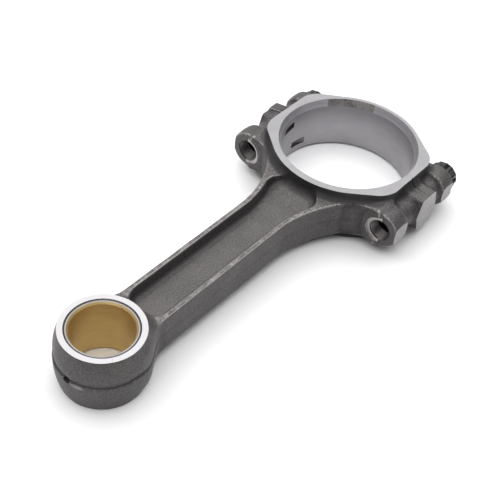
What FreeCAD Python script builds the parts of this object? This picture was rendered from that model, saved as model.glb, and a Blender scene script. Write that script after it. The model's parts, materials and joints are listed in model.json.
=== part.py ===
"""A forged connecting rod for a V-eight petrol engine, with its cap, screws, sleeves and small-end bush.

The origin is the centre of the crankpin bore. +Z runs up that bore's axis, the wrist pin's bore is at -X, and
the cap is at +X. The rod and its cap meet on the plane X = 0. Sizes are in millimetres and degrees.
"""
import FreeCAD, Part
import math
import os
import re
import Sketcher

os.makedirs("parts", exist_ok=True)
doc = FreeCAD.newDocument("connecting_rod")

# ---- The sizes that drive everything --------------------------------------------------------------------

SIZES = [
    ("centre_distance", 144.78, "crankpin bore to wrist pin bore"),
    ("crank_bore", 56.5, "diameter of the crankpin bore, without bearing shells"),
    ("big_end_width", 23.88, "between the two thrust faces"),
    ("small_end_width", 25.4, "between the small end's two machined faces"),
    ("rod_ring_wall", 4.45, "from the bore to the thrust face's round edge, on the beam's side"),
    ("cap_ring_wall", 3.05, "the same on the cap's side"),
    ("cheek_wall", 3.35, "from the bore to each of the thrust face's two flats"),
    ("rod_cheek_angle", 38.0, "where the rod's round edge turns straight, from -X"),
    ("cap_cheek_angle", 35.0, "where the cap's round edge turns straight, from +X"),
    ("cheek_rounding", 4.0, "corners of the thrust face"),
    ("ring_draft", 4.0, "lean of the big end's forged wall"),
    ("top_bevel_width", 1.45, "bevel of the crankpin bore beside the crank's fillet"),
    ("top_bevel_depth", 3.0, "the same bevel, along the bore"),
    ("bottom_bevel", 0.6, "bevel of the bore's other mouth"),
    ("beam_half", 10.6, "half the beam's width at the parting line of the dies"),
    ("beam_depth", 16.7, "beam's height along Z"),
    ("beam_draft", 2.0, "lean of the beam's outer walls"),
    ("shoulder_ledge", 11.11, "from the screw's axis in to the shoulder's corner"),
    ("shoulder_angle", 33.6, "widening of the beam at the shoulder"),
    ("shoulder_share", 0.562, "part of the shoulder's slope that the hollow beside the beam takes"),
    ("flank", 24.0, "end face of the rod's bosses, from the parting plane"),
    ("flank_share", 0.3175, "part of that slope that the hollow beside the end face takes"),
    ("flange_land", 2.1, "width of the top of each flange"),
    ("web", 6.4, "thickness of the web between the two recesses"),
    ("recess_draft", 7.0, "lean of the recess's walls"),
    ("flare_lead", 4.5, "how much sooner than the beam the recess begins to widen"),
    ("recess_flare_angle", 22.0, "widening of the recess"),
    ("flare_share", 0.62, "part of the recess's flare that its hollow takes"),
    ("recess_end_gap", 2.1, "from the thrust face's round edge to the corners of the recess"),
    ("recess_end_sink", 1.7, "how far the middle of that end lies under the big end's wall"),
    ("recess_corner", 2.8, "corner of the recess"),
    ("recess_tip_sink", 1.1, "how far the recess's other end lies under the small end's wall"),
    ("web_fillet", 2.0, "fillet between the web and the flanges"),
    ("flange_fillet", 0.7, "rounded top edges of the flanges"),
    ("barrel_wall", 4.375, "wall of the small end around the bush, at the dies' parting line"),
    ("barrel_crown", 1.8, "how much less that wall is at the machined faces"),
    ("neck_angle", 62.0, "where the small end's wall turns straight towards the beam, from +X"),
    ("neck_share", 0.395, "part of that straight wall that the hollow beside the beam takes"),
    ("die_step", 0.3, "the lower die's half is this much smaller all round"),
    ("pin_bore", 23.55, "diameter of the bush's bore, for the wrist pin"),
    ("bush_wall", 1.45, "thickness of the bush"),
    ("bush_setback", 0.25, "each end of the bush below the small end's face"),
    ("bush_bevel", 0.7, "bevel at each end of the bush's bore"),
    ("eye_bevel", 0.4, "bevel of the small end's bore around the bush"),
    ("oil_hole", 2.8, "diameter of the oil hole in the small end"),
    ("thin_wall", 0.82, "what is left between the crankpin bore and each sleeve's hole"),
    ("flat_wall", 7.3, "from each screw's axis to the machined flat outside it"),
    ("rod_boss_wall", 4.0, "boss at the mouth of each tapped hole, beyond the sleeve's bore"),
    ("foot_fillet", 4.0, "hollow between the web and the big end's wall"),
    ("rod_boss_length", 9.6, "from the end face towards the cap"),
    ("rod_neck_wall", 2.2, "wall around the screw between the bosses, beyond the sleeve's bore"),
    ("middle_boss_top", 5.0, "each half of the middle boss along X, at its top"),
    ("middle_boss_root", 6.6, "the same at the dies' parting line"),
    ("middle_boss_height", 8.1, "half the middle boss along Z"),
    ("cap_neck_wall", 1.6, "the same wall on the cap"),
    ("head_boss_wall", 2.8, "boss under each screw's head, beyond the sleeve's bore"),
    ("head_boss_length", 6.2, "from the screw's seat towards the rod"),
    ("seat", 19.5, "seat under the screw's head, from the parting plane"),
    ("seat_clearance", 0.5, "room around the screw's washer face where the cap is cut away"),
    ("spotface_ledge", 1.4, "radius of the cutter that faced each tapped hole's mouth, beyond the sleeve's bore"),
    ("spotface_depth", 0.4, "how far that cutter went in"),
    ("screw", 9.525, "diameter of the screw's thread"),
    ("thread_clearance", 0.05, "between screw and tapped hole, all round"),
    ("shank_hole_clearance", 0.25, "between screw and the cap's plain hole, all round"),
    ("screw_short", 7.0, "from the rod's end face back to the screw's end"),
    ("thread_start", 3.0, "where the thread begins, from the parting plane"),
    ("screw_bevel", 1.0, "bevel at the screw's end"),
    ("shank_relief", 0.725, "how much thinner the screw's plain shank is"),
    ("head_height", 6.5, "screw's head, with its washer face"),
    ("washer_ledge", 2.0, "round washer face under the head, beyond the sleeve's bore"),
    ("washer_height", 1.5, "thickness of that washer face"),
    ("head_ledge", 1.3, "points of the twelve-point head, beyond the sleeve's bore"),
    ("head_notch", 0.8, "depth of the hollows between those points"),
    ("head_dimple", 1.8, "radius of the conical dimple in the head"),
    ("sleeve_play", 0.2375, "between screw and locating sleeve, all round"),
    ("sleeve_wall", 0.7, "thickness of the sleeve"),
    ("sleeve_length", 8.0, "half of it in the rod and half in the cap"),
    ("sleeve_clearance", 0.03, "between sleeve and rod, all round"),
    ("sleeve_end_gap", 0.4, "between the sleeve's end and the bottom of its hole"),
    ("notch_depth", 1.3, "notch for a bearing shell's tang, at the parting plane"),
    ("notch_run", 7.8, "length of the notch along X"),
    ("notch_width", 3.2, "the notch along Z"),
    ("rod_notch_height", 4.9, "middle of the rod's notch above the bore's middle"),
    ("cap_notch_height", -7.1, "middle of the cap's notch"),
]

sheet = doc.addObject("Spreadsheet::Sheet", "sizes")
for row, (alias, value, meaning) in enumerate(SIZES, start=1):
    sheet.set(f"A{row}", meaning)
    sheet.set(f"B{row}", str(value))
    sheet.setAlias(f"B{row}", alias)
doc.recompute()


ALIASES = re.compile(r"\b(" + "|".join(alias for alias, _, _ in SIZES) + r")\b")

# Formulas that several pieces share, in words of the sheet above.
HALF_WIDTH = "big_end_width / 2"
HALF_DEPTH = "beam_depth / 2"
EYE_RADIUS = "(pin_bore / 2 + bush_wall)"
BARREL_RADIUS = f"({EYE_RADIUS} + barrel_wall)"
BARREL_FACE_RADIUS = f"({BARREL_RADIUS} - barrel_crown)"
ROD_RING_RADIUS = "(crank_bore / 2 + rod_ring_wall)"
CAP_RING_RADIUS = "(crank_bore / 2 + cap_ring_wall)"
CHEEK_HALF = "(crank_bore / 2 + cheek_wall)"
SLEEVE_BORE = "(screw / 2 + sleeve_play)"
SLEEVE_RADIUS = f"({SLEEVE_BORE} + sleeve_wall)"
SLEEVE_HOLE_DEPTH = "(sleeve_length / 2 + sleeve_end_gap)"
BOLT_OFFSET = f"(crank_bore / 2 + thin_wall + sleeve_clearance + {SLEEVE_RADIUS})"
OUTER_FLAT = f"({BOLT_OFFSET} + flat_wall)"
WASHER_RADIUS = f"({SLEEVE_BORE} + washer_ledge)"
PAST = 2.0  # how far a cutting tool runs past the surface it cuts
HEAD_POINTS = 12  # points of the screw's head
FAR = 60.0  # a cutting tool's own size, where it only has to be large


def formula(words):
    """A formula with the sheet's name put before each of its aliases."""
    return ALIASES.sub(r"sizes.\1", str(words))


def value(words):
    """What a formula comes to now, as a plain number."""
    found = sheet.evalExpression(formula(words))
    return float(getattr(found, "Value", found))


def bind(thing, **properties):
    """Binds properties of an object to formulas; x, y and z are the places of its attachment."""
    for name, words in properties.items():
        path = f"AttachmentOffset.Base.{name}" if name in "xyz" else name
        thing.setExpression(path, formula(words))


# ---- Making features ------------------------------------------------------------------------------------

def new_body(label):
    body = doc.addObject("PartDesign::Body", label)
    body.Label = label
    return body


def attach(body, feature, role):
    """Puts a sketch or a primitive on one of its own body's origin planes."""
    origin_plane = next(f for f in body.Origin.OriginFeatures if f.Role == role)
    feature.AttachmentSupport = [(origin_plane, "")]
    feature.MapMode = "FlatFace"


def outline(body, name, role, corners, **place):
    """A sketch of one closed outline. A corner is (x, y) or (x, y, rounding), each of them a formula."""
    sketch = body.newObject("Sketcher::SketchObject", name)
    attach(body, sketch, role)
    bind(sketch, **place)
    points = [FreeCAD.Vector(value(c[0]), value(c[1]), 0) for c in corners]
    count = len(points)
    leaving, arriving, arcs = [], [], {}
    for i, corner in enumerate(corners):
        here = points[i]
        inward = (here - points[i - 1]).normalize()
        outward = (points[(i + 1) % count] - here).normalize()
        turn = inward.getAngle(outward)
        reach = value(corner[2]) * math.tan(turn / 2) if len(corner) == 3 else 0.0
        arriving.append(here - inward * reach)
        leaving.append(here + outward * reach)
        if reach:
            centre = here + (outward - inward).normalize() * (value(corner[2]) / math.cos(turn / 2))
            arcs[i] = rounding(centre, value(corner[2]), arriving[i], leaving[i], inward.cross(outward).z > 0)
    for i in range(count):
        sketch.addGeometry(Part.LineSegment(leaving[i], arriving[(i + 1) % count]), False)
    for i, corner in enumerate(corners):
        before = (i - 1) % count
        held = i
        if i in arcs:
            shape, first, last = arcs[i]
            arc = sketch.addGeometry(shape, False)
            sketch.addConstraint(Sketcher.Constraint("Tangent", before, 2, arc, first))
            sketch.addConstraint(Sketcher.Constraint("Tangent", arc, last, i, 1))
            size = sketch.addConstraint(Sketcher.Constraint("Radius", arc, value(corner[2])))
            sketch.setExpression(f"Constraints[{size}]", formula(corner[2]))
            held = sketch.addGeometry(Part.Point(points[i]), True)
            sketch.addConstraint(Sketcher.Constraint("PointOnObject", held, 1, before))
            sketch.addConstraint(Sketcher.Constraint("PointOnObject", held, 1, i))
        else:
            sketch.addConstraint(Sketcher.Constraint("Coincident", before, 2, i, 1))
        for kind, words in (("DistanceX", corner[0]), ("DistanceY", corner[1])):
            size = sketch.addConstraint(Sketcher.Constraint(kind, -1, 1, held, 1, value(words)))
            sketch.setExpression(f"Constraints[{size}]", formula(words))
    doc.recompute()
    return sketch


def rounding(centre, radius, start, end, leftward):
    """An arc for a corner, with the numbers that the sketcher gives its two ends, in the outline's order."""
    if not leftward:
        start, end = end, start
    low = math.atan2(start.y - centre.y, start.x - centre.x)
    high = math.atan2(end.y - centre.y, end.x - centre.x)
    if high < low:
        high += 2 * math.pi
    circle = Part.Circle(centre, FreeCAD.Vector(0, 0, 1), radius)
    return Part.ArcOfCircle(circle, low, high), 1 if leftward else 2, 2 if leftward else 1


def extrude(body, kind, name, sketch, length, back_length=None, draft=None, reverse=False):
    """A Pad or Pocket from its sketch, to one side or to both, with an inward draft if one is given."""
    feature = body.newObject(f"PartDesign::{kind}", name)
    feature.Profile = sketch
    feature.Reversed = reverse
    bind(feature, Length=length)
    if back_length:
        feature.SideType = "Two sides"
        bind(feature, Length2=back_length)
    if draft:
        bind(feature, TaperAngle=f"-({draft})")
        if back_length:
            bind(feature, TaperAngle2=f"-({draft})")
    doc.recompute()
    return feature


def revolve(body, name, sketch, axis):
    """Turns a sketch all the way round one of its own two axes."""
    feature = body.newObject("PartDesign::Revolution", name)
    feature.Profile = sketch
    feature.ReferenceAxis = (sketch, [axis])
    feature.Angle = 360
    doc.recompute()
    return feature


def cylinder(body, kind, name, role, radius, length, **place):
    """An AdditiveCylinder or SubtractiveCylinder that rises from one of the origin planes."""
    feature = body.newObject(f"PartDesign::{kind}Cylinder", name)
    attach(body, feature, role)
    bind(feature, Radius=radius, Height=length, **place)
    doc.recompute()
    return feature


def cone(body, kind, name, role, low_radius, high_radius, length, **place):
    feature = body.newObject(f"PartDesign::{kind}Cone", name)
    attach(body, feature, role)
    bind(feature, Radius1=low_radius, Radius2=high_radius, Height=length, **place)
    doc.recompute()
    return feature


def block(body, kind, name, sizes, **place):
    """An AdditiveBox or SubtractiveBox with its low corner at x, y, z."""
    feature = body.newObject(f"PartDesign::{kind}Box", name)
    attach(body, feature, "XY_Plane")
    bind(feature, Length=sizes[0], Width=sizes[1], Height=sizes[2], **place)
    doc.recompute()
    return feature


def fillet(body, name, radius, chosen):
    """Rounds every edge of the body whose points all pass the test."""
    base = body.Tip
    names = [f"Edge{i}" for i, edge in enumerate(base.Shape.Edges, start=1)
             if all(chosen(p) for p in edge.discretize(7))]
    feature = body.newObject("PartDesign::Fillet", name)
    feature.Base = (base, names)
    bind(feature, Radius=radius)
    doc.recompute()
    return feature


# ---- Shapes that the rod and the cap share --------------------------------------------------------------

def cheek_corner(ring_radius, angle):
    """How far out along X the straight edge, tangent to the ring, meets the flat cheek."""
    return f"({ring_radius} - {CHEEK_HALF} * sin({angle} * 1 deg)) / cos({angle} * 1 deg)"


def ring(body, side, ring_radius, angle):
    """One half of the big end: a round wall that runs out into two flat cheeks, leaning as a forging does.

    It runs a little past the parting plane, where it is cut later. side is -1 for the rod and +1 for the cap.
    """
    corner_x = f"{side} * ({cheek_corner(ring_radius, angle)})"
    corners = [
        (-side * PAST, f"-{CHEEK_HALF}"),
        (corner_x, f"-{CHEEK_HALF}", "cheek_rounding"),
        (f"{side} * {ring_radius} / cos({angle} * 1 deg)", "0", ring_radius),
        (corner_x, CHEEK_HALF, "cheek_rounding"),
        (-side * PAST, CHEEK_HALF),
    ]
    face = outline(body, "ring_outline", "XY_Plane", corners, z=HALF_WIDTH)
    # The face is drawn at the top and the wall spreads from it down to the dies' parting line.
    top = extrude(body, "Pad", "ring_top", face, HALF_WIDTH, draft="-ring_draft", reverse=True)
    low_face = outline(body, "ring_outline_low", "XY_Plane", corners, z=f"-{HALF_WIDTH}")
    return top, extrude(body, "Pad", "ring_low", low_face, HALF_WIDTH, draft="-ring_draft")


def middle_boss(body, side):
    """Half of the boss that the parting plane divides. It runs right across, and the bore opens it."""
    corners = [
        (-side * PAST, "-middle_boss_height"),
        (f"{side} * middle_boss_top", "-middle_boss_height"),
        (f"{side} * middle_boss_root", "0"),
        (f"{side} * middle_boss_top", "middle_boss_height"),
        (-side * PAST, "middle_boss_height"),
    ]
    profile = outline(body, "middle_boss_outline", "XZ_Plane", corners)
    return extrude(body, "Pad", "middle_boss", profile, OUTER_FLAT, back_length=OUTER_FLAT)


def machine_big_end(body, side):
    """The cuts that rod and cap take together: flats, parting face, crankpin bore and its two bevels."""
    for hand in (-1, 1):
        low = OUTER_FLAT if hand > 0 else f"-{OUTER_FLAT} - {FAR}"
        block(body, "Subtractive", "outer_flat_cut", (2 * FAR, FAR, FAR), x=-FAR, y=low, z=-FAR / 2)
    block(body, "Subtractive", "parting_cut", (FAR, 2 * FAR, FAR), x=0 if side < 0 else -FAR, y=-FAR, z=-FAR / 2)
    cylinder(body, "Subtractive", "crank_bore", "XY_Plane", "crank_bore / 2", FAR, z=-FAR / 2)
    steep = "top_bevel_width / top_bevel_depth"
    cone(body, "Subtractive", "top_bevel", "XY_Plane", "crank_bore / 2",
         f"crank_bore / 2 + top_bevel_width + {PAST} * {steep}", f"top_bevel_depth + {PAST}",
         z=f"{HALF_WIDTH} - top_bevel_depth")
    cone(body, "Subtractive", "bottom_bevel", "XY_Plane", f"crank_bore / 2 + bottom_bevel + {PAST}",
         "crank_bore / 2", f"bottom_bevel + {PAST}", z=f"-{HALF_WIDTH} - {PAST}")


def tang_notch(body, side, height):
    """The crescent that a small cutter leaves in the bore, deepest at the parting plane."""
    wall = "(crank_bore / 2)"
    # A circle through the notch's deepest point and its end, with its centre on the parting plane.
    end_y = f"sqrt({wall} ^ 2 - notch_run ^ 2)"
    deep_y = f"({wall} + notch_depth)"
    centre_y = f"({deep_y} ^ 2 - notch_run ^ 2 - ({end_y}) ^ 2) / (2 * ({deep_y} - {end_y}))"
    return cylinder(body, "Subtractive", "tang_notch", "XY_Plane", f"{deep_y} - ({centre_y})", "notch_width",
                    y=centre_y, z=f"{height} - notch_width / 2")


# ---- The rod --------------------------------------------------------------------------------------------

rod = new_body("rod_body")

neck_radius = f"(({BARREL_RADIUS} + {BARREL_FACE_RADIUS}) / 2)"
neck_x = f"-centre_distance + {neck_radius} * cos(neck_angle * 1 deg)"
neck_y = f"{neck_radius} * sin(neck_angle * 1 deg)"
neck_reach = f"(({neck_radius} - beam_half * sin(neck_angle * 1 deg)) / cos(neck_angle * 1 deg))"
beam_start = f"-centre_distance + {neck_reach}"
neck_wall = f"(({neck_reach} - {neck_radius} * cos(neck_angle * 1 deg)) / sin(neck_angle * 1 deg))"
neck_rounding = f"({neck_wall} * neck_share / tan((90 - neck_angle) / 2 * 1 deg))"
shoulder_y = f"({BOLT_OFFSET} - shoulder_ledge)"
slope_run = f"(({shoulder_y} - beam_half) / tan(shoulder_angle * 1 deg))"
slope = f"({slope_run} / cos(shoulder_angle * 1 deg))"
shoulder_start = f"(flank + {slope_run})"
shoulder_rounding = f"({slope} * shoulder_share / tan(shoulder_angle / 2 * 1 deg))"
flank_rounding = f"({slope} * flank_share / tan((90 - shoulder_angle) / 2 * 1 deg))"
beam_outline = outline(rod, "beam_outline", "XY_Plane", [
    (neck_x, f"-{neck_y}"),
    (beam_start, "-beam_half", neck_rounding),
    (f"-{shoulder_start}", "-beam_half", shoulder_rounding),
    ("-flank", f"-{shoulder_y}", flank_rounding),
    ("-flank", f"-{BOLT_OFFSET}"),
    (PAST, f"-{BOLT_OFFSET}"),
    (PAST, BOLT_OFFSET),
    ("-flank", BOLT_OFFSET),
    ("-flank", shoulder_y, flank_rounding),
    (f"-{shoulder_start}", "beam_half", shoulder_rounding),
    (beam_start, "beam_half", neck_rounding),
    (neck_x, neck_y),
])
beam = extrude(rod, "Pad", "beam", beam_outline, HALF_DEPTH, back_length=HALF_DEPTH, draft="beam_draft")

recess_half = "(beam_half - beam_depth / 2 * tan(beam_draft * 1 deg) - flange_land)"
recess_end = f"({ROD_RING_RADIUS} + recess_end_gap)"
flare_start = f"({shoulder_start} + flare_lead)"
flare_run = f"({flare_start} - {recess_end})"
recess_end_half = f"({recess_half} + {flare_run} * tan(recess_flare_angle * 1 deg))"
recess_tip_x = f"-(centre_distance - {BARREL_RADIUS} + recess_tip_sink)"
flare = f"({flare_run} / cos(recess_flare_angle * 1 deg))"
flare_rounding = f"{flare} * flare_share / tan(recess_flare_angle / 2 * 1 deg)"
for hand in (-1, 1):
    recess_outline = outline(rod, "recess_outline", "XY_Plane", [
        (recess_tip_x, f"-{recess_half}", f"{recess_half} * 0.98"),
        (f"-{flare_start}", f"-{recess_half}", flare_rounding),
        (f"-{recess_end}", f"-{recess_end_half}", "recess_corner"),
        (f"-{ROD_RING_RADIUS} + recess_end_sink", "0"),
        (f"-{recess_end}", recess_end_half, "recess_corner"),
        (f"-{flare_start}", recess_half, flare_rounding),
        (recess_tip_x, recess_half, f"{recess_half} * 0.98"),
    ], z=f"{hand} * {HALF_DEPTH}")
    extrude(rod, "Pocket", "recess", recess_outline, "(beam_depth - web) / 2", draft="recess_draft",
            reverse=hand < 0)

half_web = value("web / 2")
half_depth = value(HALF_DEPTH)
fillet(rod, "web_fillet", "web_fillet", lambda p: abs(abs(p.z) - half_web) < 1e-4)
fillet(rod, "flange_fillet", "flange_fillet", lambda p: abs(abs(p.z) - half_depth) < 1e-4)

# The small end is a barrel. Its lower half comes from the other die, which is a little smaller.
barrel_outline = outline(rod, "barrel_outline", "XZ_Plane", [
    ("0", "-small_end_width / 2"),
    (BARREL_FACE_RADIUS, "-small_end_width / 2"),
    (f"{BARREL_RADIUS} - die_step", "0"),
    (BARREL_RADIUS, "0"),
    (BARREL_FACE_RADIUS, "small_end_width / 2"),
    ("0", "small_end_width / 2"),
], x="-centre_distance")
revolve(rod, "barrel", barrel_outline, "V_Axis")

ring(rod, -1, ROD_RING_RADIUS, "rod_cheek_angle")
foot_radius = f"{ROD_RING_RADIUS} + ({HALF_WIDTH} - web / 2) * tan(ring_draft * 1 deg)"
foot_outline = outline(rod, "foot_outline", "XZ_Plane", [
    ("crank_bore / 2", f"-{HALF_WIDTH}"),
    (ROD_RING_RADIUS, f"-{HALF_WIDTH}"),
    (foot_radius, "-web / 2", "foot_fillet"),
    (f"{foot_radius} + 1.1 * foot_fillet", "-web / 2"),
    (f"{foot_radius} + 1.1 * foot_fillet", "web / 2"),
    (foot_radius, "web / 2", "foot_fillet"),
    (ROD_RING_RADIUS, HALF_WIDTH),
    ("crank_bore / 2", HALF_WIDTH),
])
revolve(rod, "foot", foot_outline, "V_Axis")
middle_boss(rod, -1)
for hand in (-1, 1):
    cylinder(rod, "Additive", "rod_neck", "YZ_Plane", f"{SLEEVE_BORE} + rod_neck_wall", f"flank / 2 + {PAST}",
             x=f"{hand} * {BOLT_OFFSET}", z="-flank / 2")
    cylinder(rod, "Additive", "rod_boss", "YZ_Plane", f"{SLEEVE_BORE} + rod_boss_wall", "rod_boss_length",
             x=f"{hand} * {BOLT_OFFSET}", z="-flank")

machine_big_end(rod, -1)
for hand in (-1, 1):
    bolt_y = f"{hand} * {BOLT_OFFSET}"
    cylinder(rod, "Subtractive", "tapped_hole", "YZ_Plane", "screw / 2 + thread_clearance", FAR,
             x=bolt_y, z=-FAR / 2)
    cylinder(rod, "Subtractive", "sleeve_hole", "YZ_Plane", f"{SLEEVE_RADIUS} + sleeve_clearance",
             SLEEVE_HOLE_DEPTH, x=bolt_y, z=f"-{SLEEVE_HOLE_DEPTH}")
    cylinder(rod, "Subtractive", "spotface", "YZ_Plane", f"{SLEEVE_BORE} + spotface_ledge", flank_rounding,
             x=bolt_y, z=f"-flank + spotface_depth - {flank_rounding}")
tang_notch(rod, -1, "rod_notch_height")
cylinder(rod, "Subtractive", "eye", "XY_Plane", EYE_RADIUS, FAR, x="-centre_distance", z=-FAR / 2)
eye_mouth = f"{EYE_RADIUS} + eye_bevel + {PAST}"
cone(rod, "Subtractive", "eye_bevel_top", "XY_Plane", EYE_RADIUS, eye_mouth, f"eye_bevel + {PAST}",
     x="-centre_distance", z="small_end_width / 2 - eye_bevel")
cone(rod, "Subtractive", "eye_bevel_low", "XY_Plane", eye_mouth, EYE_RADIUS, f"eye_bevel + {PAST}",
     x="-centre_distance", z=f"-small_end_width / 2 - {PAST}")
cylinder(rod, "Subtractive", "oil_hole", "YZ_Plane", "oil_hole / 2", BARREL_RADIUS,
         z=f"-centre_distance - {BARREL_RADIUS} - 1")

# ---- The cap --------------------------------------------------------------------------------------------

cap = new_body("rod_cap")
ring(cap, 1, CAP_RING_RADIUS, "cap_cheek_angle")
middle_boss(cap, 1)
for hand in (-1, 1):
    bolt_y = f"{hand} * {BOLT_OFFSET}"
    cylinder(cap, "Additive", "cap_neck", "YZ_Plane", f"{SLEEVE_BORE} + cap_neck_wall", f"seat / 2 + {PAST}",
             x=bolt_y, z=f"-{PAST}")
    cylinder(cap, "Additive", "head_boss", "YZ_Plane", f"{SLEEVE_BORE} + head_boss_wall", "head_boss_length",
             x=bolt_y, z="seat - head_boss_length")

machine_big_end(cap, 1)
for hand in (-1, 1):
    bolt_y = f"{hand} * {BOLT_OFFSET}"
    cylinder(cap, "Subtractive", "screw_hole", "YZ_Plane", "screw / 2 + shank_hole_clearance", FAR,
             x=bolt_y, z=-FAR / 2)
    cylinder(cap, "Subtractive", "sleeve_hole", "YZ_Plane", SLEEVE_RADIUS, SLEEVE_HOLE_DEPTH, x=bolt_y)
    cylinder(cap, "Subtractive", "seat_cut", "YZ_Plane", f"{WASHER_RADIUS} + seat_clearance", FAR,
             x=bolt_y, z="seat")
tang_notch(cap, 1, "cap_notch_height")

# ---- The small-end bush: a rolled strip pressed into the eye and drilled through with it -----------------

bush = new_body("pin_bush")
half_bush = "(small_end_width / 2 - bush_setback)"
bush_outline = outline(bush, "bush_outline", "XZ_Plane", [
    ("pin_bore / 2", f"-{half_bush} + bush_bevel"),
    ("pin_bore / 2 + bush_bevel", f"-{half_bush}"),
    (EYE_RADIUS, f"-{half_bush}"),
    (EYE_RADIUS, half_bush),
    ("pin_bore / 2 + bush_bevel", half_bush),
    ("pin_bore / 2", f"{half_bush} - bush_bevel"),
], x="-centre_distance")
revolve(bush, "bush", bush_outline, "V_Axis")
cylinder(bush, "Subtractive", "oil_hole", "YZ_Plane", "oil_hole / 2", BARREL_RADIUS,
         z=f"-centre_distance - {BARREL_RADIUS} - 1")

# ---- Screws and sleeves, a left and a right of each ------------------------------------------------------

for side_name, hand in (("left", 1), ("right", -1)):
    bolt_y = f"{hand} * {BOLT_OFFSET}"
    screw = new_body(f"cap_screw_{side_name}")
    washer_top = "(seat + washer_height)"
    screw_end = "-(flank - screw_short)"
    shank_radius = "(screw - shank_relief) / 2"
    screw_outline = outline(screw, "screw_outline", "XY_Plane", [
        (screw_end, "0"),
        (screw_end, "screw / 2 - screw_bevel"),
        (f"{screw_end} + screw_bevel", "screw / 2"),
        ("-thread_start", "screw / 2"),
        ("-thread_start + shank_relief / 2", shank_radius),
        ("seat", shank_radius),
        ("seat", WASHER_RADIUS),
        (washer_top, WASHER_RADIUS),
        (washer_top, "0"),
    ], y=bolt_y)
    revolve(screw, "turned_screw", screw_outline, "H_Axis")
    point_radius = f"({SLEEVE_BORE} + head_ledge)"
    star = []
    for k in range(2 * HEAD_POINTS):
        reach = point_radius if k % 2 == 0 else f"({point_radius} - head_notch)"
        angle = 180 * k / HEAD_POINTS
        star.append((f"{reach} * cos({angle} * 1 deg)", f"{reach} * sin({angle} * 1 deg)"))
    head_outline = outline(screw, "head_outline", "YZ_Plane", star, x=bolt_y, z=washer_top)
    extrude(screw, "Pad", "head", head_outline, "head_height - washer_height")
    cone(screw, "Subtractive", "dimple", "YZ_Plane", "0", "head_dimple", "head_dimple",
         x=bolt_y, z="seat + head_height - head_dimple")

    sleeve = new_body(f"locating_sleeve_{side_name}")
    cylinder(sleeve, "Additive", "sleeve", "YZ_Plane", SLEEVE_RADIUS, "sleeve_length",
             x=bolt_y, z="-sleeve_length / 2")
    cylinder(sleeve, "Subtractive", "sleeve_bore", "YZ_Plane", SLEEVE_BORE, FAR, x=bolt_y, z=-FAR / 2)

# ---- Checks and export ----------------------------------------------------------------------------------

doc.recompute()
for thing in doc.Objects:
    if "Invalid" in thing.State or "Error" in thing.State:
        raise SystemExit(f"{thing.Name} failed: {thing.getStatusString()}")
pieces = [thing for thing in doc.Objects if thing.TypeId == "PartDesign::Body"]
for piece in pieces:
    shape = piece.Shape
    if shape.isNull() or not shape.isValid() or len(shape.Solids) != 1:
        raise SystemExit(f"{piece.Label} isn't one sound solid")
for piece in pieces:
    piece.Shape.exportStep(f"parts/{piece.Label}.step")
    print(f"{piece.Label}: {piece.Shape.Volume:.0f} cubic millimetres")
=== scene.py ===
"""A forged connecting rod with its cap, cap screws, locating sleeves and bush, on a pale studio floor.

The sections follow the rod as it is made and put together. Lengths are in millimetres until a mesh is made.
"""
import json
import math

import bpy
import numpy as np
import openvdb
from mathutils import Matrix, Vector


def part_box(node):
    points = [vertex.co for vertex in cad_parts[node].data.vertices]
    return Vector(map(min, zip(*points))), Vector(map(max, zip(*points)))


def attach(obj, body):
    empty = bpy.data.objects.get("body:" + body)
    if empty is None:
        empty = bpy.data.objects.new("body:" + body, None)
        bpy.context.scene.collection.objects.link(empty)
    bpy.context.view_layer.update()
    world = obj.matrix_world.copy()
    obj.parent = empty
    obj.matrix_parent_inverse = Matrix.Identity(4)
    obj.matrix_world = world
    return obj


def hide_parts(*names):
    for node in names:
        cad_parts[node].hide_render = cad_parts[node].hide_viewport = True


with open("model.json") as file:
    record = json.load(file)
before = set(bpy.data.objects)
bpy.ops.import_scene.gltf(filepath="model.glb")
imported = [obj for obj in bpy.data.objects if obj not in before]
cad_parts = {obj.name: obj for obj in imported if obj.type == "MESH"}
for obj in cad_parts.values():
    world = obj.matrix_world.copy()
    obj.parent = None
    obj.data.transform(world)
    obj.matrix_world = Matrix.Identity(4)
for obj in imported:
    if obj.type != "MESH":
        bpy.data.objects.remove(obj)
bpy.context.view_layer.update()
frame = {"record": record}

# ---- The rod's forging ------------------------------------------------------------------------------------
# Two dies press the rod from a hot steel billet, so its walls lean away from the parting plane Z = 0 and
# its inner corners are hollow. It is then shot-blasted to a dark satin skin.

MM = 0.001
STEP = 0.5  # spacing of the points where the forging's shape is worked out
places = {mount["name"]: Vector(mount["pos_m"]) / MM for mount in frame["record"]["mounts"]}
PIN_X = round(places["wrist_pin_bore"].x, 3)
BIG_HALF = round(places["big_end_face_top"].z, 3)
SMALL_HALF = round(places["small_end_face_top"].z, 3)
SCREW_Y = round(sum(corner.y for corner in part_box("cap_screw_left")) / 2 / MM, 3)
FLANK_X = -23.6  # the rod's end faces, where the tapped holes come out
CRANK_RADIUS = 28.25  # of the finished crankpin bore
ROUGH_HOLE = 26.0  # radius of the hole in the big end before it is bored
RING_TOP = 12.7  # half the big end's height before its thrust faces are ground
BEAM_TOP = 8.35  # half the beam's height
OUTER_FLAT = 42.1  # from the middle to the flats outside the bosses
OIL_RADIUS = 1.4


def lean(angle):
    return math.tan(math.radians(angle))


def both(first, second, size):
    """Two shapes together, with a hollow of that size where they meet."""
    inner = np.hypot(np.maximum(size - first, 0), np.maximum(size - second, 0))
    return np.maximum(size, np.minimum(first, second)) - inner


def common(first, second, size):
    """What two shapes share, with the edges between them rounded."""
    outer = np.hypot(np.maximum(first + size, 0), np.maximum(second + size, 0))
    return np.minimum(-size, np.maximum(first, second)) + outer


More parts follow.
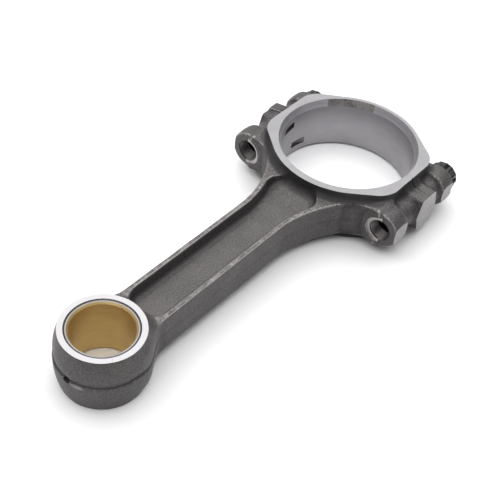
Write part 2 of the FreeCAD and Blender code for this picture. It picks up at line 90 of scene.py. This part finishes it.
def room(low, high):
    """Coordinates over a block of space, as three arrays that spread against each other."""
    x, y, z = (np.arange(a, b, STEP, dtype=np.float32) for a, b in zip(low, high))
    return x[:, None, None], y[None, :, None], z[None, None, :]


def big_ring(out, side, up, radius, angle):
    """Half of the big end, round and then straight to flat cheeks. out is measured from the joint face."""
    turn = math.radians(angle)
    slanted = out * math.cos(turn) + side * math.sin(turn) - radius
    outline = common(slanted, side - 32.6, 4.0)
    outline = np.where(side * math.cos(turn) < out * math.sin(turn), np.hypot(out, side) - radius, outline)
    wall = outline - (BIG_HALF - up) * lean(4)
    return np.maximum(wall, ROUGH_HOLE - np.hypot(out, side))


def crowned_boss(along, side, z, reach, length):
    """A boss round a screw, a little fuller at its middle than at its ends."""
    barrel = np.hypot(side - SCREW_Y, z) - (reach - 0.022 * along ** 2)
    return common(barrel, np.abs(along) - length / 2, 0.6)


def middle_boss(x, y, up):
    """The boss that the rod and the cap share. On the left its top falls away, more so on the rod's half."""
    side = np.abs(y)
    top = 8.3 - np.where(y > 0, 0.24, 0.04) * (side - 36) - np.where((y > 0) & (x < -0.5), 1.0, 0)
    ends = np.abs(x) - (6.8 - 0.22 * up)
    return np.maximum(common(ends, up - top, 1.3), side - 43.2)


def rough_skin(field, x, y, z):
    """The dies' fin at the parting plane, and the slight waves of a real forging."""
    fin = 0.07 * np.exp(-(z / 0.4) ** 2)
    waves = np.sin(0.51 * x + 1.3) * np.sin(0.63 * y + 0.4)
    waves = waves + np.sin(0.37 * x - 0.45 * y + 2) * np.sin(0.55 * z)
    return field - fin + 0.035 * waves


def as_mesh(name, field, low):
    """The field's skin as an object. Its points carry bend: above 0 on an edge, below 0 in a hollow."""
    value_outside = 10.0
    grid = openvdb.FloatGrid(value_outside)
    grid.copyFromArray(np.ascontiguousarray(field))
    points, quads = grid.convertToQuads(isovalue=0.0)
    near = np.rint(points).astype(int).T
    near = [np.clip(n, 1, size - 2) for n, size in zip(near, field.shape)]
    bend = -6 * field[tuple(near)]
    for axis in range(3):
        for way in (-1, 1):
            bend += field[tuple(n + way * (k == axis) for k, n in enumerate(near))]
    mesh = bpy.data.meshes.new(name)
    mesh.from_pydata((points * STEP + np.array(low)) * MM, [], quads[:, ::-1])
    curve = mesh.attributes.new("bend", "FLOAT", "POINT")
    curve.data.foreach_set("value", (bend / STEP ** 2).astype(np.float32))
    piece = bpy.data.objects.new(name, mesh)
    bpy.context.scene.collection.objects.link(piece)
    return piece


def rod_field(low, high):
    x, y, z = room(low, high)
    side, up = np.abs(y), np.abs(z)
    beam = side - 10.6
    turn = math.radians(33.6)
    shoulder = beam * math.cos(turn) - (x + 43.7) * math.sin(turn)
    plan = both(both(beam, shoulder, 7.4), FLANK_X - x, 6.2)
    neck = 0.469 * (x - PIN_X - 7.84) + 0.883 * (side - 14.0)
    plan = both(plan, common(neck, PIN_X + 3 - x, 5.0), 3.2)
    plan = np.maximum(np.maximum(plan, PIN_X - x), np.maximum(x + 14, side - 33))
    blank = common(plan + up * lean(2), up - BEAM_TOP, 0.7)

    # The recess in each side of the beam, with round ends and leaning walls.
    depth = BEAM_TOP - up
    channel = np.hypot(np.minimum(x + 120.07, 0), y) - 8.2
    flare = (side - 8.2) * 0.927 - (x + 48.2) * 0.375
    opening = np.where(x < -60, channel, both(side - 8.2, flare, 3.35))
    end = 0.604 * (x + 35.1) + 0.797 * (side - 10.2)
    opening = common(opening, end, 2.8)
    floor_up = 3.2 + 0.03 * np.maximum(44 - np.hypot(x, y), 0) ** 2  # it rises towards the big end's ring
    recess = common(opening + depth * lean(7), floor_up - up, 2.2)
    blank = common(blank, -recess, 0.7)

    ring = np.maximum(big_ring(-x, side, up, 32.7, 38), up - RING_TOP)
    blank = both(blank, np.maximum(ring, x - 2), 2.8)

    boss = crowned_boss(x + 19.0, side, z, 8.5, 8.8)
    bar = np.maximum(np.hypot(side - SCREW_Y, z) - 6.1, -x - 18)
    lugs = both(both(boss, bar, 2.4), middle_boss(x, y, up), 2.4)
    blank = both(blank, lugs, 3.0)
    blank = np.maximum(blank, ROUGH_HOLE - np.hypot(x, y))

    # The upper die was a little shallower round the pin, which left a step at the parting plane.
    step = 0.75 * (z > 0) * np.exp(-(z / 2.6) ** 2)
    eye_wall = 17.65 - 1.85 * (up / SMALL_HALF) ** 2.2 - step
    barrel = np.maximum(np.hypot(x - PIN_X, y) - eye_wall, up - 13.4)
    blank = both(blank, barrel, 4.5)
    blank = np.maximum(blank, 11.5 - np.hypot(x - PIN_X, y))
    return rough_skin(blank, x, y, z)


rod_low = (-164.0, -44.5, -14.5)
rod = as_mesh("rod_forging", rod_field(rod_low, (3.0, 45.0, 15.0)), rod_low)


class Value:
    """One socket of a finish. Arithmetic on it adds Math nodes."""

    def __init__(self, finish, socket):
        self.finish, self.socket = finish, socket

    def math(self, operation, *values):
        return self.finish.node("ShaderNodeMath", {"operation": operation}, dict(enumerate(values)))

    def __add__(self, other):
        return self.math("ADD", self, other)

    def __mul__(self, other):
        return self.math("MULTIPLY", self, other)

    def __sub__(self, other):
        return self.math("SUBTRACT", self, other)

    def __rsub__(self, other):
        return self.math("SUBTRACT", other, self)

    def __truediv__(self, other):
        return self.math("DIVIDE", self, other)

    def __pow__(self, other):
        return self.math("POWER", self, other)

    def __abs__(self):
        return self.math("ABSOLUTE", self)

    __radd__ = __add__
    __rmul__ = __mul__

    def between(self, low, high):
        """0 below low, 1 above high, and a smooth change from one to the other."""
        settings = {"interpolation_type": "SMOOTHSTEP"}
        return self.finish.node("ShaderNodeMapRange", settings, {0: self, 1: low, 2: high})

    def within(self, low, high, soft):
        """1 from low to high, and 0 past them."""
        return self.between(low - soft, low) * (1 - self.between(high, high + soft))


class Finish:
    """A material in the making."""

    def __init__(self, name):
        self.material = bpy.data.materials.new(name)
        self.material.use_nodes = True
        self.tree = self.material.node_tree
        self.tree.nodes.clear()
        self.place = self.node("ShaderNodeTexCoord", {}, {}, "Object")

    def along(self, axis):
        """How far along an axis a point lies, in millimetres."""
        return self.node("ShaderNodeSeparateXYZ", {}, {0: self.place}, axis) / MM

    def node(self, kind, settings, values, output=0):
        """Adds a node: its settings first, then the values or links of its sockets."""
        made = self.tree.nodes.new(kind)
        for name, setting in settings.items():
            setattr(made, name, setting)
        for key, value in values.items():
            if isinstance(value, Value):
                self.tree.links.new(value.socket, made.inputs[key])
            else:
                made.inputs[key].default_value = value
        return Value(self, made.outputs[output])

    def noise(self, size, detail=2.0, stretch=(1, 1, 1), turn=0.0):
        """Noise whose cells are about size millimetres, longer along the axes where stretch is over 1."""
        scale = [1 / (size * MM * s) for s in stretch]
        values = {"Vector": self.place, "Rotation": (0, 0, turn), "Scale": scale}
        where = self.node("ShaderNodeMapping", {}, values)
        return self.node("ShaderNodeTexNoise", {}, {"Vector": where, "Scale": 1.0, "Detail": detail})

    def blend(self, share, first, second):
        """A colour between two others."""
        values = {0: share, 6: first, 7: second}
        for key in (6, 7):
            if not isinstance(values[key], Value):
                values[key] = (*values[key], 1)
        return self.node("ShaderNodeMix", {"data_type": "RGBA"}, values, 2)

    def finish(self, colour, roughness, metallic, height, depth):
        """Joins it up. height is a pattern of hills, depth how high they are in millimetres."""
        bump = self.node("ShaderNodeBump", {}, {"Height": height, "Distance": depth * MM, "Strength": 1.0})
        values = {"Base Color": colour, "Roughness": roughness, "Metallic": metallic, "Normal": bump}
        shader = self.node("ShaderNodeBsdfPrincipled", {}, values)
        self.tree.links.new(shader.socket, self.tree.nodes.new("ShaderNodeOutputMaterial").inputs["Surface"])
        return self.material


TRIM = (-161.6, -4.6, -0.6)  # middle of the ground patch beside the oil hole


def forged_colour(skin, grain, cloud):
    """Dark satin grey with paler grains and a hint of brown."""
    steel = skin.blend(cloud.between(0.35, 0.65), (0.046, 0.042, 0.042), (0.064, 0.058, 0.056))
    return skin.blend(grain.between(0.38, 0.74), steel, (0.125, 0.118, 0.116))


def forged_skin():
    """Blasted skin: fine peened grain, painted shade in the hollows, and pale edges that are partly wear and
    partly painted highlight.
    """
    skin = Finish("blasted_forging")
    grain, pits, cloud = skin.noise(0.45, 3), skin.noise(1.5, 2), skin.noise(13, 3)
    x, y, z = (skin.along(axis) for axis in "XYZ")
    bend = skin.node("ShaderNodeAttribute", {"attribute_name": "bend"}, {}, "Fac")
    off_parting = abs(z).between(0.8, 1.6)
    # Partly wear and partly painted highlight: convex edges away from the parting plane are made paler,
    # shinier and smoother.
    rubbed_and_highlight = (bend + 0.9 * (grain - 0.5) + 0.8 * (pits - 0.5)).between(0.75, 1.5) * off_parting * 0.6
    # Partly wear and partly painted highlight: broken pale spots on the flange lands.
    land = abs(z).within(8.0, 8.5, 0.3) * x.within(-126, -44, 8)
    fine, patches = skin.noise(0.28, 2), skin.noise(2.2, 2)
    rubbed_and_highlight = rubbed_and_highlight.math("MAXIMUM", rubbed_and_highlight, land * 0.75 * (0.6 * fine + 0.4 * patches).between(0.42, 0.66))
    steel = forged_colour(skin, grain, cloud)
    # Painted shade: the colour turns near black in the hollows, where bend is below 0.
    steel = skin.blend((0 - bend).between(0.03, 0.4) * 0.6, steel, (0.020, 0.018, 0.018))
    # Wear and painted highlight: the edges and lands blend towards pale grey.
    steel = skin.blend(rubbed_and_highlight * 0.6, steel, (0.50, 0.47, 0.45))
    # Around the ring's wall, about 31.5 to 34.6 mm from the middle of the bore and from 4.5 mm off the
    # parting plane outwards, the colour turns near black and the surface a little rougher.
    out = (x * x + y * y) ** 0.5
    scale = out.within(31.5, 34.6, 1.6) * abs(z).between(4.5, 8.0)
    steel = skin.blend(scale * 0.75, steel, (0.012, 0.011, 0.011))
    joint = 1 - abs(x).between(0.10, 0.26)
    steel = skin.blend(joint * 0.85, steel, (0.02, 0.018, 0.018))
    # The fin was ground away beside the oil hole, which left a paler patch.
    dx, dy, dz = (value - middle for value, middle in zip((x, y, z), TRIM))
    patch = ((dx * dx + dy * dy) * 0.10 + dz * dz + 0.9 * (pits - 0.5)).between(0.35, 0.9)
    steel = skin.blend((1 - patch) * 0.55, steel, (0.34, 0.32, 0.31))
    rough = 0.50 + 0.20 * (pits - 0.5) - 0.12 * rubbed_and_highlight
    return skin.finish(steel, rough + 0.15 * scale, 0.35 + 0.4 * rubbed_and_highlight, 0.7 * grain + 0.6 * pits, 0.11)


# ---- The rod's machined faces ------------------------------------------------------------------------------
# The forging is machined where it fits something: thrust faces, both bores, the joint face, the screw
# holes and the flats outside the bosses. Each cutter is a solid that leaves the finish of its tool.


def machined(name, colour, rough, lines, contrast=0.25, depth=0.004):
    """A cut surface. lines makes its fine marks, as a pattern of the finish."""
    face = Finish(name)
    mark, cloud = lines(face), face.noise(9, 2)
    shade = (0.6 * mark + 0.4 * cloud).between(0.28, 0.72)
    steel = face.blend(shade, [c * (1 - contrast) for c in colour], colour)
    return face.finish(steel, rough + 0.10 * (mark - 0.5), 0.85, mark, depth)


def turned_bevel():
    """The wide bevel of the crankpin bore. On the cap one stretch was left as forged."""
    face = Finish("turned_bevel")
    mark, grain, cloud = honed_lines(face), face.noise(0.7, 3), face.noise(5, 2)
    x, y, z = (face.along(axis) for axis in "XYZ")
    angle = y.math("ARCTAN2", y, x) * (180 / math.pi)
    raw = (angle + 1.2 * (grain - 0.5)).within(13.0, 54.0, 0.8) * z.between(6.0, 6.5)
    steel = face.blend(mark.between(0.3, 0.7), (0.54, 0.53, 0.55), (0.68, 0.67, 0.69))
    skin = face.blend(cloud.between(0.38, 0.62), (0.11, 0.105, 0.10), (0.30, 0.285, 0.275))
    steel = face.blend(raw, steel, face.blend(grain.between(0.35, 0.7), skin, (0.30, 0.28, 0.27)))
    return face.finish(steel, 0.36 + 0.14 * raw, 0.85 - 0.35 * raw, 0.3 * mark + raw * grain, 0.05)


def ground_lines(finish):
    """Long straight scratches, nearly along the rod."""
    return finish.noise(0.35, 3, (70, 1, 70), 0.35)


def honed_lines(finish):
    """Rings round a bore: quick to change along Z and slow around it."""
    return finish.noise(0.28, 3, (40, 40, 1))


def milled_lines(finish):
    """Marks of a milling cutter that moved along Z."""
    return finish.noise(0.35, 3, (2, 30, 9))


def drilled_lines(finish):
    """Rings round a hole that runs along X."""
    return finish.noise(0.25, 3, (1, 30, 30))


SKIN, THRUST, BORE, BEVEL, MILLED, DRILLED, SPOT, EYE = range(8)
steel_finishes = [
    forged_skin(),
    machined("ground_face", (0.29, 0.285, 0.29), 0.42, ground_lines, 0.16),
    machined("honed_bore", (0.37, 0.36, 0.375), 0.42, honed_lines, 0.16),
    turned_bevel(),
    machined("milled_flat", (0.36, 0.35, 0.35), 0.45, milled_lines, 0.30, 0.010),
    machined("drilled_hole", (0.16, 0.15, 0.145), 0.45, drilled_lines, 0.3, 0.010),
    machined("spot_face", (0.46, 0.44, 0.43), 0.40, drilled_lines, 0.35),
    machined("ground_eye", (0.45, 0.44, 0.45), 0.42, ground_lines, 0.08),
]


def solid(name, points, faces, finishes):
    """A cutter: each face is (its points' numbers, its finish's number)."""
    mesh = bpy.data.meshes.new(name)
    mesh.from_pydata([Vector(p) * MM for p in points], [], [f for f, _ in faces])
    mesh.polygons.foreach_set("material_index", [finish for _, finish in faces])
    for finish in finishes:
        mesh.materials.append(finish)
    piece = bpy.data.objects.new(name, mesh)
    bpy.context.scene.collection.objects.link(piece)
    return piece


def slab(low, high, finish):
    """A straight-sided cutter between two corners."""
    points = [(x, y, z) for x in (low[0], high[0])
              for y in (low[1], high[1]) for z in (low[2], high[2])]
    rings = ((0, 1, 3, 2), (4, 6, 7, 5), (0, 4, 5, 1), (2, 3, 7, 6), (0, 2, 6, 4), (1, 5, 7, 3))
    return solid("slab", points, [(ring, finish) for ring in rings], steel_finishes)


def lathe(profile, centre, axis, finishes, count=192, name="turned", tube=False):
    """Turns a profile round an axis. Its points are (along, radius, finish of the stretch that follows)."""
    def at(along, radius, k):
        angle = 2 * math.pi * k / count
        a, b = radius * math.cos(angle), radius * math.sin(angle)
        spot = (a, b, along) if axis == "Z" else (along, a, b)
        return tuple(c + s for c, s in zip(centre, spot))

    points = [at(along, radius, k) for along, radius, _ in profile for k in range(count)]
    rows = len(profile)
    faces = []
    for row in range(rows if tube else rows - 1):
        after = (row + 1) % rows
        for k in range(count):
            step = (k + 1) % count
            ring = (row * count + k, row * count + step, after * count + step, after * count + k)
            faces.append((ring, profile[row][2]))
    if not tube:
        faces.append((tuple(reversed(range(count))), profile[0][2]))
        faces.append((tuple((rows - 1) * count + k for k in range(count)), profile[-1][2]))
    return solid(name, points, faces, finishes)


def settle(piece):
    """Makes what the piece's modifiers do part of its mesh."""
    shape = bpy.data.meshes.new_from_object(piece.evaluated_get(bpy.context.evaluated_depsgraph_get()))
    piece.modifiers.clear()
    piece.data = shape


def machine(piece, cutters):
    """Takes each cutter out of the piece in turn, and leaves it with the cutter's finish."""
    for cutter in cutters:
        step = piece.modifiers.new("cut", "BOOLEAN")
        step.operation, step.solver, step.object = "DIFFERENCE", "MANIFOLD", cutter
        settle(piece)
        bpy.data.objects.remove(cutter)
    shade_by_angle(piece)


def shade_by_angle(piece):
    """Smooth shading that stops at sharp edges."""
    piece.data.polygons.foreach_set("use_smooth", [True] * len(piece.data.polygons))
    piece.data.set_sharp_from_angle(angle=math.radians(32))


def big_end_cutters(way):
    """What the rod and the cap are cut with alike. way is -1 for the rod and 1 for the cap."""
    near, far = sorted((-4 * way, 60 * way))
    parting = sorted((0, -9 * way))
    return [
        slab((near, -50, BIG_HALF), (far, 50, 20), THRUST),
        slab((near, -50, -20), (far, 50, -BIG_HALF), THRUST),
        slab((near, OUTER_FLAT, -20), (far, 60, 20), MILLED),
        slab((near, -60, -20), (far, -OUTER_FLAT, 20), MILLED),
        slab((parting[0], -70, -25), (parting[1], 70, 25), THRUST),
        slab((-0.3, -36.8, 7.5), (0.3, -32.4, 14), DRILLED),
        slab((-0.3, 32.4, 7.5), (0.3, 36.8, 14), DRILLED),
        lathe([(-16, 32.91, BEVEL), (-11.34, CRANK_RADIUS, BORE),
               (8.94, CRANK_RADIUS, BEVEL), (14.94, 31.15, BEVEL)], (0, 0, 0), "Z", steel_finishes, 256),
    ]


def tang_notch(height):
    """The crescent that a small cutter leaves in the bore for a bearing shell's tang."""
    half_length, half_width, depth = 7.8, 1.6, 1.3
    deep, end = CRANK_RADIUS + depth, math.sqrt(CRANK_RADIUS ** 2 - half_length ** 2)
    centre = (deep ** 2 - half_length ** 2 - end ** 2) / (2 * (deep - end))
    radius = deep - centre
    profile = [(height - half_width, radius, DRILLED), (height + half_width, radius, DRILLED)]
    return lathe(profile, (0, centre, 0), "Z", steel_finishes, 128)


PITCH = 25.4 / 24  # 24 threads to the inch


def thread_tree():
    """A ridge that winds along +X from the origin: a diamond swept along a helix."""
    tree = bpy.data.node_groups.new("rolled_thread", "GeometryNodeTree")
    for name in ("Turns", "Pitch", "Radius", "Depth"):
        tree.interface.new_socket(name, in_out="INPUT", socket_type="NodeSocketFloat")
    tree.interface.new_socket("Finish", in_out="INPUT", socket_type="NodeSocketMaterial")
    tree.interface.new_socket("Thread", in_out="OUTPUT", socket_type="NodeSocketGeometry")

    def node(kind, settings, values):
        made = tree.nodes.new(kind)
        for name, setting in settings.items():
            setattr(made, name, setting)
        for key, value in values.items():
            if isinstance(value, bpy.types.NodeSocket):
                tree.links.new(value, made.inputs[key])
            else:
                made.inputs[key].default_value = value
        return made.outputs

    size = node("NodeGroupInput", {}, {})
    rise = node("ShaderNodeMath", {"operation": "MULTIPLY"}, {0: size["Turns"], 1: size["Pitch"]})
    helix = node("GeometryNodeCurveSpiral", {}, {
        "Resolution": 48, "Rotations": size["Turns"], "Start Radius": size["Radius"],
        "End Radius": size["Radius"], "Height": rise[0]})
    upright = node("GeometryNodeSetCurveNormal", {"mode": "Z_UP"}, {0: helix[0]})
    section = node("GeometryNodeCurvePrimitiveCircle", {}, {"Resolution": 4, "Radius": size["Depth"]})
    ridge = node("GeometryNodeCurveToMesh", {}, {
        "Curve": upright[0], "Profile Curve": section[0], "Fill Caps": True})
    laid = node("GeometryNodeTransform", {}, {"Geometry": ridge[0], "Rotation": (0, math.pi / 2, 0)})
    real = node("GeometryNodeRealizeInstances", {}, {0: laid[0]})
    done = node("GeometryNodeSetMaterial", {}, {"Geometry": real[0], "Material": size["Finish"]})
    node("NodeGroupOutput", {}, {0: done[0]})
    return tree


winding = thread_tree()


def thread(start, hand, turns, radius, depth, finish):
    """A thread's ridge as a mesh of its own, laid along one screw's axis."""
    blank = bpy.data.objects.new("thread", bpy.data.meshes.new("thread"))
    bpy.context.scene.collection.objects.link(blank)
    maker = blank.modifiers.new("winding", "NODES")
    maker.node_group = winding
    wanted = {"Turns": turns, "Pitch": PITCH * MM, "Radius": radius * MM, "Depth": depth * MM,
              "Finish": finish}
    for socket in winding.interface.items_tree:
        if socket.name in wanted:
            maker[socket.identifier] = wanted[socket.name]
    settle(blank)
    blank.data.transform(Matrix.Translation(Vector((start, hand * SCREW_Y, 0)) * MM))
    return blank


def joined(name, shapes):
    """Several meshes as one object."""
    with bpy.context.temp_override(active_object=shapes[0], selected_editable_objects=shapes):
        bpy.ops.object.join()
    shapes[0].name = shapes[0].data.name = name
    return shapes[0]


rod_cutters = big_end_cutters(-1)
rod_cutters += [
    slab((-170, -30, SMALL_HALF), (-110, 30, 20), EYE),
    slab((-170, -30, -20), (-110, 30, -SMALL_HALF), EYE),
    lathe([(-16, 16.925, DRILLED), (-12.3, 13.225, BORE), (12.3, 13.225, DRILLED), (16, 16.925, DRILLED)],
          (PIN_X, 0, 0), "Z", steel_finishes),
    lathe([(PIN_X - 25, OIL_RADIUS, DRILLED), (PIN_X - 5, OIL_RADIUS, DRILLED)],
          (0, 0, 0), "X", steel_finishes, 48),
    tang_notch(4.9),
]
for hand in (-1, 1):
    rod_cutters += [
        lathe([(-40, 6.4, SPOT), (-23.5, 6.4, SPOT)], (0, hand * SCREW_Y, 0), "X", steel_finishes, 96),
        lathe([(-30, 4.81, DRILLED), (-4.4, 4.81, DRILLED),
               (-4.4, 5.73, DRILLED), (6, 5.73, DRILLED)], (0, hand * SCREW_Y, 0), "X", steel_finishes, 96),
    ]
for finish in steel_finishes:
    rod.data.materials.append(finish)
machine(rod, rod_cutters)
ridges = [thread(-23.2, hand, 5.4, 4.81, 0.5, steel_finishes[DRILLED]) for hand in (-1, 1)]
rod = joined("rod_forging", [rod, *ridges])
shade_by_angle(rod)
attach(rod, "rod")
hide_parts("rod_body")

# ---- The cap ----------------------------------------------------------------------------------------------
# The cap is forged in the same way as the rod and bored together with it, so the two stay a pair. The
# screws' heads press on its two bosses.


def cap_field(low, high):
    x, y, z = room(low, high)
    side, up = np.abs(y), np.abs(z)
    ring = np.maximum(big_ring(x, side, up, 31.3, 35), up - RING_TOP)
    ring = np.maximum(ring, -2 - x)
    boss = crowned_boss(x - 16.2, side, z, 8.3, 7.6)
    bar = np.maximum(np.hypot(side - SCREW_Y, z) - 6.0, x - 16)
    lugs = both(both(boss, bar, 2.2), middle_boss(x, y, up), 2.2)
    blank = both(ring, lugs, 3.0)
    blank = np.maximum(blank, ROUGH_HOLE - np.hypot(x, y))
    return rough_skin(blank, x, y, z)


cap_low = (-4.0, -44.5, -14.5)
cap = as_mesh("cap_forging", cap_field(cap_low, (34.0, 45.0, 15.0)), cap_low)
cap_cutters = big_end_cutters(1)
cap_cutters.append(tang_notch(-7.1))
for hand in (-1, 1):
    cap_cutters += [
        lathe([(19.5, 7.5, SPOT), (40, 7.5, SPOT)], (0, hand * SCREW_Y, 0), "X", steel_finishes, 96),
        lathe([(-6, 5.7, DRILLED), (4.4, 5.7, DRILLED), (4.4, 5.0125, DRILLED), (30, 5.0125, DRILLED)],
              (0, hand * SCREW_Y, 0), "X", steel_finishes, 96),
    ]
for finish in steel_finishes:
    cap.data.materials.append(finish)
machine(cap, cap_cutters)
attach(cap, "cap")
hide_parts("rod_cap")

# ---- The small-end bush -----------------------------------------------------------------------------------
# A steel-backed bronze bush, pressed into the small end, bevelled at both ends so that the steel back
# shows, and honed to the wrist pin's size.

bush_finishes = [
    machined("honed_bronze", (0.66, 0.49, 0.215), 0.42, honed_lines, 0.22),
    machined("bush_back", (0.30, 0.295, 0.29), 0.42, honed_lines, 0.20),
]
bush = lathe([(-11.75, 11.775, 0), (-12.45, 12.475, 1), (-12.45, 12.95, 1), (-12.1, 13.2, 1), (12.1, 13.2, 1),
              (12.45, 12.95, 1), (12.45, 12.475, 0), (11.75, 11.775, 0)],
             (PIN_X, 0, 0), "Z", bush_finishes, 192, "small_end_bush", tube=True)
machine(bush, [lathe([(PIN_X - 20, OIL_RADIUS, 0), (PIN_X - 5, OIL_RADIUS, 0)],
                     (0, 0, 0), "X", bush_finishes, 48)])
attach(bush, "rod")
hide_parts("pin_bush")

# ---- The locating sleeves ---------------------------------------------------------------------------------
# Thin ground steel tubes round the screws, half in the cap and half in the rod. They keep the cap in
# its place.

sleeve_finish = machined("ground_sleeve", (0.55, 0.55, 0.56), 0.34, drilled_lines)
for hand, name in ((1, "left"), (-1, "right")):
    sleeve = lathe([(-4, 5.25, 0), (-4, 5.45, 0), (-3.75, 5.69, 0), (3.75, 5.69, 0),
                    (4, 5.45, 0), (4, 5.25, 0), (3.75, 5.0, 0), (-3.75, 5.0, 0)],
                   (0, hand * SCREW_Y, 0), "X", [sleeve_finish], 96, f"sleeve_{name}", tube=True)
    shade_by_angle(sleeve)
    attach(sleeve, "cap")
    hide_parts(f"locating_sleeve_{name}")

# ---- The cap screws ---------------------------------------------------------------------------------------
# Each is turned from alloy steel, with a forged twelve-point head over a round washer face, a plain
# shank and a rolled thread, and is blackened in a hot oxide bath.

SCREW_END, HEAD_END = (round(corner.x / MM, 3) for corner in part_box("cap_screw_left"))
SEAT = HEAD_END - 6.5


def black_oxide():
    """Satin black, with a brownish bloom and pale rubbed points."""
    skin = Finish("black_oxide")
    grain, cloud = skin.noise(0.4, 3), skin.noise(3, 2)
    black = skin.blend(cloud.between(0.35, 0.65), (0.012, 0.012, 0.014), (0.030, 0.029, 0.031))
    black = skin.blend(grain.between(0.60, 0.75) * 0.5, black, (0.09, 0.085, 0.085))
    return skin.finish(black, 0.34 + 0.2 * (grain - 0.5), 0.6, grain, 0.02)


def point_radius(angle):
    """The twelve-point head's outline: straight flanks from sharp hollows up to blunt points."""
    share = abs((angle / (2 * math.pi) * 12) % 1 * 2 - 1)
    return 5.5 + 0.8 * min(1, share * 1.12)


def screw_head(centre, finish):
    """The head above the washer face, with its points chamfered at the end and a dimple in the middle."""
    count = 144
    layers = [(SEAT + 1.4, 9), (HEAD_END - 0.9, 9), (HEAD_END - 0.45, 6.05), (HEAD_END, 5.6)]
    points = []
    for along, most in layers:
        for k in range(count):
            angle = 2 * math.pi * k / count
            radius = min(most, point_radius(angle))
            points.append((along, centre + radius * math.cos(angle), radius * math.sin(angle)))
    for along, radius in ((HEAD_END, 2.1), (HEAD_END - 1.6, 0.5)):
        for k in range(count):
            angle = 2 * math.pi * k / count
            points.append((along, centre + radius * math.cos(angle), radius * math.sin(angle)))
    rows = len(layers) + 2
    faces = [((row * count + k, row * count + (k + 1) % count, (row + 1) * count + (k + 1) % count,
               (row + 1) * count + k), 0) for row in range(rows - 1) for k in range(count)]
    faces.append((tuple(reversed(range(count))), 0))
    faces.append((tuple((rows - 1) * count + k for k in range(count)), 0))
    return solid("head", points, faces, [finish])


oxide = black_oxide()
for hand, name in ((1, "left"), (-1, "right")):
    core = lathe([(SCREW_END, 3.5, 0), (SCREW_END + 0.9, 4.28, 0), (-3.4, 4.28, 0), (-3.0, 4.4, 0),
                  (SEAT - 0.6, 4.4, 0), (SEAT, 4.9, 0), (SEAT, 6.8, 0), (SEAT + 0.2, 7.0, 0),
                  (SEAT + 1.1, 7.0, 0), (SEAT + 1.5, 6.6, 0)],
                 (0, hand * SCREW_Y, 0), "X", [oxide], 96, f"screw_{name}")
    ridge = thread(SCREW_END + 0.55, hand, 12.3, 4.27, 0.49, oxide)
    screw = joined(f"screw_{name}", [core, screw_head(hand * SCREW_Y, oxide), ridge])
    shade_by_angle(screw)
    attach(screw, f"screw_{name}")
    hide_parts(f"cap_screw_{name}")

# ---- The studio -------------------------------------------------------------------------------------------
# A pale floor under the rod, one large soft light overhead, a faint even light all round, and the
# camera.

floor_mesh = bpy.data.meshes.new("studio_floor")
reach, level = 3.0, -SMALL_HALF * MM
corners = [(-reach, -reach, level), (reach, -reach, level), (reach, reach, level), (-reach, reach, level)]
floor_mesh.from_pydata(corners, [], [(0, 1, 2, 3)])
floor = bpy.data.objects.new("studio_floor", floor_mesh)
bpy.context.scene.collection.objects.link(floor)
paper = Finish("pale_paper")
floor_mesh.materials.append(paper.finish((0.88, 0.88, 0.88, 1), 0.9, 0.0, paper.noise(3), 0.002))

world = bpy.data.worlds.new("studio")
bpy.context.scene.world = world
world.use_nodes = True
world.node_tree.nodes["Background"].inputs["Color"].default_value = (0.95, 0.93, 1.0, 1)
world.node_tree.nodes["Background"].inputs["Strength"].default_value = 0.22


def soft_light(name, place, target, size, power):
    lamp = bpy.data.lights.new(name, "AREA")
    lamp.shape, lamp.size, lamp.size_y, lamp.energy = "RECTANGLE", size[0], size[1], power
    holder = bpy.data.objects.new(name, lamp)
    way = Vector(target) - Vector(place)
    holder.matrix_world = Matrix.Translation(place) @ way.to_track_quat("-Z", "Y").to_matrix().to_4x4()
    bpy.context.scene.collection.objects.link(holder)


soft_light("overhead", (0.05, 0.22, 0.95), (-0.06, 0, 0), (2.3, 2.3), 37.0)

camera = bpy.data.objects.new("camera", bpy.data.cameras.new("camera"))
right, down, ahead = (0.638, -0.7652, 0.0863), (-0.5034, -0.4993, -0.7052), (0.5827, 0.4064, -0.7037)
camera.matrix_world = Matrix.Translation(Vector((-316.44, -177.11, 298.55)) * MM) @ Matrix((
    right, [-c for c in down], [-c for c in ahead])).transposed().to_4x4()
camera.data.lens, camera.data.sensor_width = 78.24, 36.0
camera.data.clip_start, camera.data.clip_end = 0.01, 20.0
bpy.context.scene.collection.objects.link(camera)
bpy.context.scene.camera = camera
bpy.context.scene.view_settings.view_transform = "Standard"
